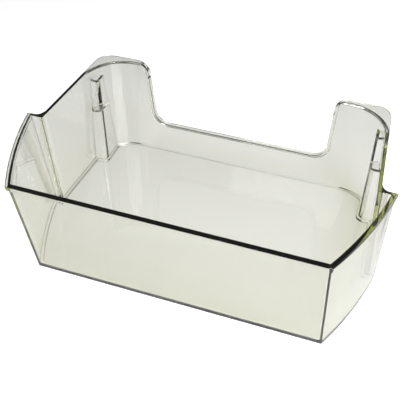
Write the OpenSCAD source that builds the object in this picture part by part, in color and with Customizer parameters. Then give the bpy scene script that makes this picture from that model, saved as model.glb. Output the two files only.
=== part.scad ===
// Clear bottle holder that hangs on the inside of a refrigerator door.
// One moulding: a wide basket in front with curved sides, and a narrower
// section behind it that slides between the mouldings of the door.
// X runs across the door, Y from the room towards the door, Z up.
// The origin is under the middle of the bin, level with its underside.

/* [Basket in front] */
// Height from the underside to the rim
total_h = 106.5; // [90:0.5:125]
// Width across the shoulders, outside
front_w = 298.6; // [280:0.2:320]
// Depth at the underside, from the front wall to the shoulders
front_d = 81; // [70:0.5:95]
// Lean of the front wall towards the room
front_lean = 9.4; // [5:0.1:12]
// Lean of the curved sides and the shoulders towards the room
shoulder_lean = 7; // [4:0.1:9]
// Plan radius of the curved sides
side_r = 300; // [260:5:360]
// Distance by which the centre of the curved sides lies behind the shoulders
side_back = 57; // [40:1:70]

/* [Section behind] */
// Width where it leaves the shoulders, outside, at the underside
rear_w = 284.4; // [272:0.2:290]
// Depth at the underside, from the shoulders to the back wall, outside
rear_d = 100.5; // [90:0.5:120]
// Angle at which its sides close towards the door
side_taper = 3.4; // [1:0.1:5]
// Lean of its sides towards each other
side_lean = 2.3; // [0.5:0.1:4]
// Lean of the back wall towards the room
back_lean = 5.9; // [3:0.1:8]
// Inner radius of its upright corners
corner_in_r = 35; // [30:1:40]
// Outer radius of the corner webs at the rim
web_r = 14; // [8:1:20]
// Concave rounding between shoulder and side
shoulder_r = 6; // [3:0.5:9]

/* [Walls] */
// Thickness of the walls
wall_t = 2.8; // [2:0.1:3.4]
// Thickness of the floor
floor_t = 2.5; // [2:0.1:3.5]
// Rise of the ledge around the floor
ledge_h = 2; // [1:0.1:3]
// Width of the ledge around the floor
ledge_w = 2.3; // [1.5:0.1:3.5]
// Rounding of the corners of the sunken floor
sunk_r = 14; // [8:1:18]

/* [Rim] */
// Overhang of the rim outside the front basket
rim_out = 1.5; // [0.8:0.1:2.5]
// Height of the rim of the front basket
rim_h = 4.5; // [3:0.5:6]
// Overhang of the flange behind the back wall
flange_out = 2.7; // [1.5:0.1:4]
// Thickness of the flange
flange_t = 3; // [2:0.1:4]

/* [Cut-out in the back wall] */
// Half width between its sides where they meet the bottom
cut_half_w = 83; // [70:1:88]
// Height of its lower edge above the underside
cut_z = 37.2; // [25:0.1:50]
// Angle at which its sides open upwards
cut_splay = 2.6; // [0:0.1:5]
// Rounding of its lower corners
cut_low_r = 14; // [8:1:20]
// Rounding of its upper corners
cut_top_r = 11; // [6:1:14]

/* [Recesses at the door] */
// Distance of the recessed wall from the middle, inside
recess_x = 124.6; // [118:0.2:128]
// Depth from the shoulders to the recess, inside
recess_d = 61.5; // [55:0.5:66]
// Rounding of the upright edge of the recess, inside
recess_r = 6; // [4:0.5:8]
// Height of the recess under its roof
recess_h = 60; // [50:1:66]

/* [Hook sockets] */
// Clear width of the socket
socket_w = 6.2; // [5:0.2:7]
// Height of the inner edge of its roof above the underside
socket_z = 95; // [80:1:98]
// Slope of its roof
roof_slope = 20; // [5:1:25]
// Thickness of the bar under the socket
bar_t = 2.2; // [1.4:0.1:3]

/* [Hidden] */
$fn = 96;
big = 400;
back_y = front_d + rear_d;
front_y = -total_h * tan(front_lean) - rim_out / cos(front_lean);
mid_y = (back_y + front_y) / 2;
side_cx = front_w / 2 - sqrt(side_r * side_r - side_back * side_back);
ledge_z = floor_t + ledge_h;
recess_y = front_d + recess_d;
rear_start = front_d - 10;

// Half space X >= 0
module right_half() {
    translate([0, -big / 2, -50]) cube([big, big * 1.5, big]);
}

// Level slab between two heights
module slab(z0, z1) {
    translate([-big / 2, -big / 2, z0]) cube([big, big * 1.5, z1 - z0]);
}

// Convex rounding at the corner between a rear line and a tapering side line
module corner_cut(x0, y0, y1, r, taper) {
    cy = y1 - r;
    cx = x0 - (cy - y0) * tan(taper) - r / cos(taper);
    tx = cx + r * cos(taper);
    ty = cy + r * sin(taper);
    difference() {
        polygon([[cx, cy], [tx, ty], [tx + 9, ty], [tx + 9, y1 + 9], [cx, y1 + 9]]);
        translate([cx, cy]) circle(r);
    }
}

// Plan of the front basket, drawn square to its leaning sides
module front_plan(inset, back_inset) {
    c = cos(shoulder_lean);
    intersection() {
        translate([side_cx, (front_d + side_back) * c]) circle(side_r - inset, $fn = 360);
        translate([-side_cx, (front_d + side_back) * c]) circle(side_r - inset, $fn = 360);
        translate([-big / 2, -60]) square([big, 60 + front_d * c - back_inset]);
    }
}

// Everything above the underside and behind the plane of the front wall
module behind_front(inset) {
    k = tan(front_lean);
    y0 = inset / cos(front_lean);
    rotate([90, 0, 90]) translate([0, 0, -big / 2]) linear_extrude(big)
        polygon([[y0, 0], [y0 - big * k, big], [big, big], [big, 0]]);
}

// Solid of the front basket, drawn in by a given distance
module front_solid(inset, back_inset) {
    intersection() {
        rotate([shoulder_lean, 0, 0]) translate([0, 0, -30]) linear_extrude(big)
            front_plan(inset, back_inset);
        behind_front(inset);
    }
}

// Plan of one half of the section behind, drawn square to its leaning sides
module rear_plan(inset, back_out, r) {
    c = cos(back_lean);
    x0 = rear_w / 2 - inset / cos(side_taper);
    y0 = front_d * c;
    y1 = back_y * c - inset + back_out;
    difference() {
        polygon([
            [-20, rear_start], [x0 + (y0 - rear_start) * tan(side_taper), rear_start],
            [x0 - (y1 - y0) * tan(side_taper), y1], [-20, y1]
        ]);
        corner_cut(x0, y0, y1, r, side_taper);
    }
}

// Raises a plan of the section behind along its leaning corner
module rear_raise() {
    intersection() {
        rotate([back_lean, 0, 0]) rotate([0, -side_lean, 0])
            translate([0, 0, -40]) linear_extrude(big) children();
        right_half();
    }
}

// Plan of the recess at one rear corner
module recess_plan(out) {
    x = recess_x + out;
    y = recess_y + out;
    r = max(recess_r - out, 1);
    difference() {
        translate([x, y]) square([60, 80]);
        difference() {
            translate([x - 1, y - 1]) square(r + 1);
            translate([x + r, y + r]) circle(r);
        }
    }
}

// Recess up to its level roof
module recess(out, top) {
    translate([0, 0, -1]) linear_extrude(top + 1) recess_plan(out);
}

// Everything under the sloping roof of a socket
module under_roof(drop) {
    translate([recess_x, 0, socket_z - drop / cos(roof_slope)])
        rotate([0, -roof_slope, 0])
        translate([-big / 2, -big / 2, -big]) cube([big, big * 1.5, big]);
}

// Space that takes the hook of the door, open towards the door
module socket() {
    intersection() {
        translate([recess_x + wall_t, recess_y + wall_t, recess_h + bar_t])
            cube([socket_w, 60, total_h]);
        under_roof(wall_t);
    }
}

// Both halves of something drawn on the right
module both_sides() {
    children();
    mirror([1, 0, 0]) children();
}

// Solid of the section behind, with its upright corners and recesses
module rear_solid() {
    difference() {
        rear_raise() rear_plan(0, 0, corner_in_r + wall_t);
        recess(wall_t, recess_h);
        socket();
    }
}

// Space inside the section behind
module rear_space() {
    difference() {
        rear_raise() rear_plan(wall_t, 0, corner_in_r);
        intersection() {
            recess(0, total_h);
            under_roof(0);
        }
    }
}

// Rim around the front basket
module front_rim() {
    intersection() {
        front_solid(-rim_out, 0);
        slab(total_h - rim_h, total_h);
    }
}

// Flange behind the back wall: along the cut-out, and a web over each corner
module rear_flange() {
    intersection() {
        rear_raise() rear_plan(0, flange_out, web_r);
        union() {
            slab(total_h - flange_t, total_h);
            translate([0, back_y + 30, 0]) rotate([90, 0, 0]) linear_extrude(60)
                cut_outline(flange_t);
        }
    }
}

// Concave rounding between a shoulder and the side behind it
module shoulder_fillet() {
    c = cos(shoulder_lean);
    a = atan(tan(side_lean) - tan(side_taper) * tan(shoulder_lean));
    x0 = rear_w / 2;
    y0 = front_d * c;
    cy = y0 + shoulder_r;
    cx = x0 - shoulder_r * tan(side_taper) + shoulder_r / cos(side_taper);
    tx = cx - shoulder_r * cos(side_taper);
    ty = cy - shoulder_r * sin(side_taper);
    rotate([shoulder_lean, 0, 0]) rotate([0, -a, 0])
        translate([0, 0, -30]) linear_extrude(big) difference() {
            polygon([
                [x0 - 2, y0 - 2], [cx, y0 - 2], [cx, y0],
                [cx, cy], [tx, ty], [tx - 2, ty]
            ]);
            translate([cx, cy]) circle(shoulder_r);
        }
}

// Outside of the whole bin with its rim and flange
module outer_form() {
    intersection() {
        union() {
            front_solid(0, 0);
            front_rim();
            both_sides() intersection() {
                union() {
                    rear_solid();
                    rear_flange();
                    shoulder_fillet();
                }
                slab(0, total_h + 10);
            }
        }
        slab(-10, total_h);
    }
}

// Space inside the bin above the ledge around its floor
module inner_form() {
    intersection() {
        union() {
            front_solid(wall_t, wall_t);
            both_sides() rear_space();
        }
        slab(ledge_z, total_h + 10);
    }
}

// Plan of one half of the sunken floor behind the shoulders
module sunk_rear_plan() {
    c = cos(back_lean);
    y1 = back_y * c - wall_t;
    difference() {
        rear_plan(wall_t + ledge_w, ledge_w, corner_in_r + 1);
        translate([recess_x - ledge_w, recess_y - ledge_w]) difference() {
            square([60, 80]);
            difference() {
                translate([-1, -1]) square(recess_r + 1);
                translate([recess_r, recess_r]) circle(recess_r);
            }
        }
        corner_cut(recess_x - ledge_w, y1, y1, sunk_r, 0);
    }
}

// Sunken middle of the floor
module sunken_floor() {
    inset = wall_t + ledge_w;
    intersection() {
        union() {
            front_solid(inset, inset);
            both_sides() rear_raise() sunk_rear_plan();
        }
        slab(floor_t, ledge_z + 1);
    }
}

// Outline of the cut-out in the back wall, grown by a given distance
module cut_outline(grow) {
    k = tan(cut_splay);
    w = cut_half_w + grow / cos(cut_splay) - grow * k;
    z = cut_z - grow;
    low = cut_low_r + grow;
    top = cut_top_r - grow;
    lx = w + low * k - low / cos(cut_splay);
    tx = w + (total_h - top - z) * k + top / cos(cut_splay);
    difference() {
        union() {
            polygon([
                [-w, z], [w, z], [w + (total_h + 20 - z) * k, total_h + 20],
                [-w - (total_h + 20 - z) * k, total_h + 20]
            ]);
            for (s = [0, 1]) mirror([s, 0]) difference() {
                polygon([
                    [w, total_h - top * 1.5], [tx, total_h - top],
                    [tx, total_h + 20], [w, total_h + 20]
                ]);
                translate([tx, total_h - top]) circle(top);
            }
        }
        for (s = [0, 1]) mirror([s, 0]) difference() {
            translate([lx, z - 9]) square([low + 9, low + 9]);
            translate([lx, z + low]) circle(low);
        }
    }
}

// The bin in one piece
module bottle_holder() {
    color([0.86, 0.88, 0.82, 0.45])
    translate([0, -mid_y, 0])
    difference() {
        outer_form();
        inner_form();
        sunken_floor();
        translate([0, back_y + 30, 0]) rotate([90, 0, 0]) linear_extrude(60)
            cut_outline(0);
    }
}

bottle_holder();
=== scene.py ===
# %% [markdown]
# A clear bottle holder from a refrigerator door, dressed for a picture. The real thing is one
# piece of moulded plastic, so the lesson has one piece, one clear material and the studio around
# it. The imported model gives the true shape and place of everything, and this script adds the
# rounded edges, the plastic and the light.

# %% Load the measured frame
import math

import bmesh
import bpy
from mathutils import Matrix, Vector


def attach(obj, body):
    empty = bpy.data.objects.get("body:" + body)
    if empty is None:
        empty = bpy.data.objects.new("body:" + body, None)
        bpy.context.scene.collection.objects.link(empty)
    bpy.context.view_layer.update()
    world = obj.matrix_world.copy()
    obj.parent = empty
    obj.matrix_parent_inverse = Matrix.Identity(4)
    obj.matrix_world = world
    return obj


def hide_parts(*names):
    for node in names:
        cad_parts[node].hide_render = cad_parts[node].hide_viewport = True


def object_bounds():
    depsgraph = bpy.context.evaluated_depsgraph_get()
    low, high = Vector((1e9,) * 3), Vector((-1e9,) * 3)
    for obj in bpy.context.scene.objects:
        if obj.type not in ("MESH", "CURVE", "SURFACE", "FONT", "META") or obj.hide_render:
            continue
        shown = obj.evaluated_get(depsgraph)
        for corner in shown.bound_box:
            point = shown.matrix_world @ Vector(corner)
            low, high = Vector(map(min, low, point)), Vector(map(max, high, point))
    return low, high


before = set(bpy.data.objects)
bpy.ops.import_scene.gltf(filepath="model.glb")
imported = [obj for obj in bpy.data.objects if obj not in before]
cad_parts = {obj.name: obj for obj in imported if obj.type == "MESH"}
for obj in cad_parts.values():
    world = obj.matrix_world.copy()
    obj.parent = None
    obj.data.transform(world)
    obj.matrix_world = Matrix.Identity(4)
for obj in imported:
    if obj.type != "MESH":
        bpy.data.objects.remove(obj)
cad_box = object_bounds()
low, high = (Vector(corner) for corner in cad_box)
print("The bin measures", [round(side * 1000, 1) for side in high - low], "mm")

# %% [markdown]
# The camera comes first, because every later choice is judged through it. It stands to the right
# of the bin and looks down at it, which the picture shows by the floor that is visible inside. Its
# place was worked out from edges that are square to each other on the real bin.

# %% Camera
CAMERA_PLACE = (0.1343, -0.3987, 0.4338)
LOOK_DOWN = 42.95
LOOK_LEFT = 19.25
LENS_MM = 60.94

camera_data = bpy.data.cameras.new("camera")
camera_data.lens = LENS_MM
camera_data.sensor_width = 36
camera = bpy.data.objects.new("camera", camera_data)
camera.location = CAMERA_PLACE
camera.rotation_euler = (math.radians(90 - LOOK_DOWN), 0, math.radians(LOOK_LEFT))
bpy.context.scene.collection.objects.link(camera)
bpy.context.scene.camera = camera
print("The camera is", round((camera.location - (low + high) / 2).length, 3), "m from the bin's middle")

# %% [markdown]
# Clear plastic has hardly any colour of its own. It shows what is behind it, and its edges show
# what is around it, so the surroundings are half of the material. The bin stands on a pale floor
# that is lit to near white, and the room above is darker, which draws the edges as grey lines.
# The floor adds some light of its own for the camera alone, so the background turns white while
# the floor seen through the plastic keeps its own tone.

# %% Floor and light
FLOOR_SIZE = 6.0
FLOOR_WHITE = (0.86, 0.86, 0.86, 1)
FLOOR_LIFT = 0.42
ROOM_GREY = (0.19, 0.19, 0.19, 1)


def simple_material(name, colour, roughness):
    material = bpy.data.materials.new(name)
    material.use_nodes = True
    shader = material.node_tree.nodes["Principled BSDF"]
    shader.inputs["Base Color"].default_value = colour
    shader.inputs["Roughness"].default_value = roughness
    return material


def floor_material():
    material = simple_material("pale floor", FLOOR_WHITE, 0.9)
    nodes, links = material.node_tree.nodes, material.node_tree.links
    lift = nodes.new("ShaderNodeEmission")
    path = nodes.new("ShaderNodeLightPath")
    amount = nodes.new("ShaderNodeMath")
    amount.operation = "MULTIPLY"
    amount.inputs[1].default_value = FLOOR_LIFT
    both = nodes.new("ShaderNodeAddShader")
    links.new(path.outputs["Is Camera Ray"], amount.inputs[0])
    links.new(amount.outputs["Value"], lift.inputs["Strength"])
    links.new(nodes["Principled BSDF"].outputs["BSDF"], both.inputs[0])
    links.new(lift.outputs["Emission"], both.inputs[1])
    links.new(both.outputs["Shader"], nodes["Material Output"].inputs["Surface"])
    return material


def add_floor():
    shape = bmesh.new()
    bmesh.ops.create_grid(shape, x_segments=1, y_segments=1, size=FLOOR_SIZE / 2)
    bmesh.ops.translate(shape, verts=shape.verts, vec=(0, 0, low.z - 0.0002))
    mesh = bpy.data.meshes.new("studio_floor")
    shape.to_mesh(mesh)
    shape.free()
    floor = bpy.data.objects.new("studio_floor", mesh)
    mesh.materials.append(floor_material())
    bpy.context.scene.collection.objects.link(floor)
    return floor


def add_softbox(name, place, target, width, height, watts):
    light = bpy.data.lights.new(name, "AREA")
    light.shape = "RECTANGLE"
    light.size = width
    light.size_y = height
    light.energy = watts
    box = bpy.data.objects.new(name, light)
    box.location = place
    box.rotation_euler = (Vector(target) - Vector(place)).to_track_quat("-Z", "Y").to_euler()
    bpy.context.scene.collection.objects.link(box)
    return box


add_floor()
add_softbox("softbox_near", (0.35, -0.55, 0.9), (0.1, -0.15, 0), 0.5, 0.5, 14)
add_softbox("softbox_front", (0.2, -1.6, 0.8), (0, -0.1, 0), 1.2, 0.6, 11)
add_softbox("softbox_back", (-0.3, 1.8, 1.4), (0, 0, 0), 1.6, 0.8, 1.4)

world = bpy.data.worlds.new("studio")
world.use_nodes = True
world.node_tree.nodes["Background"].inputs["Color"].default_value = ROOM_GREY
world.node_tree.nodes["Background"].inputs["Strength"].default_value = 1.0
bpy.context.scene.world = world
bpy.context.scene.view_settings.view_transform = "Standard"
bpy.context.scene.cycles.use_denoising = True
print("The floor is", FLOOR_SIZE, "m wide, and its top lies at", round(low.z - 0.0002, 5), "m")

# %% [markdown]
# The plastic lets nearly all light through and bends it. Its skin takes a little of the light at
# each surface, and its body takes more blue than red or green, so thick places look faintly
# olive. Light that only casts a shadow, or that comes from the floor, passes straight through,
# which keeps the floor as pale under the bin as beside it.

# %% Plastic
SKIN_TINT = (0.925, 0.925, 0.92, 1)
BODY_TINT = (0.72, 0.74, 0.36, 1)
BODY_DENSITY = 30.0
SHADOW_TINT = (0.95, 0.95, 0.945, 1)


def clear_plastic():
    material = bpy.data.materials.new("clear plastic")
    material.use_nodes = True
    nodes, links = material.node_tree.nodes, material.node_tree.links
    shader = nodes["Principled BSDF"]
    output = nodes["Material Output"]
    shader.inputs["Base Color"].default_value = SKIN_TINT
    shader.inputs["Transmission Weight"].default_value = 1
    shader.inputs["IOR"].default_value = 1.57
    shader.inputs["Roughness"].default_value = 0.02
    absorb = nodes.new("ShaderNodeVolumeAbsorption")
    absorb.inputs["Color"].default_value = BODY_TINT
    absorb.inputs["Density"].default_value = BODY_DENSITY
    links.new(absorb.outputs["Volume"], output.inputs["Volume"])
    see_through = nodes.new("ShaderNodeBsdfTransparent")
    see_through.inputs["Color"].default_value = SHADOW_TINT
    path = nodes.new("ShaderNodeLightPath")
    either = nodes.new("ShaderNodeMath")
    either.operation = "MAXIMUM"
    mix = nodes.new("ShaderNodeMixShader")
    links.new(path.outputs["Is Shadow Ray"], either.inputs[0])
    links.new(path.outputs["Is Diffuse Ray"], either.inputs[1])
    links.new(either.outputs["Value"], mix.inputs["Fac"])
    links.new(shader.outputs["BSDF"], mix.inputs[1])
    links.new(see_through.outputs["BSDF"], mix.inputs[2])
    links.new(mix.outputs["Shader"], output.inputs["Surface"])
    return material


plastic = clear_plastic()
print("The plastic is made of", len(plastic.node_tree.nodes), "shader nodes")

# %% [markdown]
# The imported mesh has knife-sharp edges, and real moulded edges are slightly round and catch the
# light. A copy of the mesh is merged and cleaned, so that each flat wall is one face again, and
# then every edge sharper than a set angle is rounded.

# %% Moulding
MERGE = 0.00008
FLAT_ANGLE = 0.5
SHARP_ANGLE = 25
EDGE_ROUND = 0.0005
EDGE_SEGMENTS = 3


def sharp_edges(shape, angle):
    least = math.radians(angle)
    return [edge for edge in shape.edges if edge.is_manifold and edge.calc_face_angle() > least]


def rounded_copy(node, name, material):
    shape = bmesh.new()
    shape.from_mesh(node.data)
    bmesh.ops.remove_doubles(shape, verts=shape.verts, dist=MERGE)
    bmesh.ops.dissolve_degenerate(shape, dist=MERGE, edges=shape.edges)
    bmesh.ops.dissolve_limit(
        shape, angle_limit=math.radians(FLAT_ANGLE), verts=shape.verts, edges=shape.edges
    )
    bmesh.ops.bevel(
        shape, geom=sharp_edges(shape, SHARP_ANGLE), offset=EDGE_ROUND, offset_type="OFFSET",
        segments=EDGE_SEGMENTS, profile=0.5, affect="EDGES", material=-1
    )
    for face in shape.faces:
        face.smooth = True
    mesh = bpy.data.meshes.new(name)
    shape.to_mesh(mesh)
    shape.free()
    piece = bpy.data.objects.new(name, mesh)
    mesh.materials.append(material)
    bpy.context.scene.collection.objects.link(piece)
    weigh = piece.modifiers.new("even normals", "WEIGHTED_NORMAL")
    weigh.weight = 50
    return piece


moulding = rounded_copy(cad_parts["bottle_holder"], "bin_moulding", plastic)
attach(moulding, "root")
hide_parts("bottle_holder")
print("The moulding has", len(moulding.data.polygons), "faces")
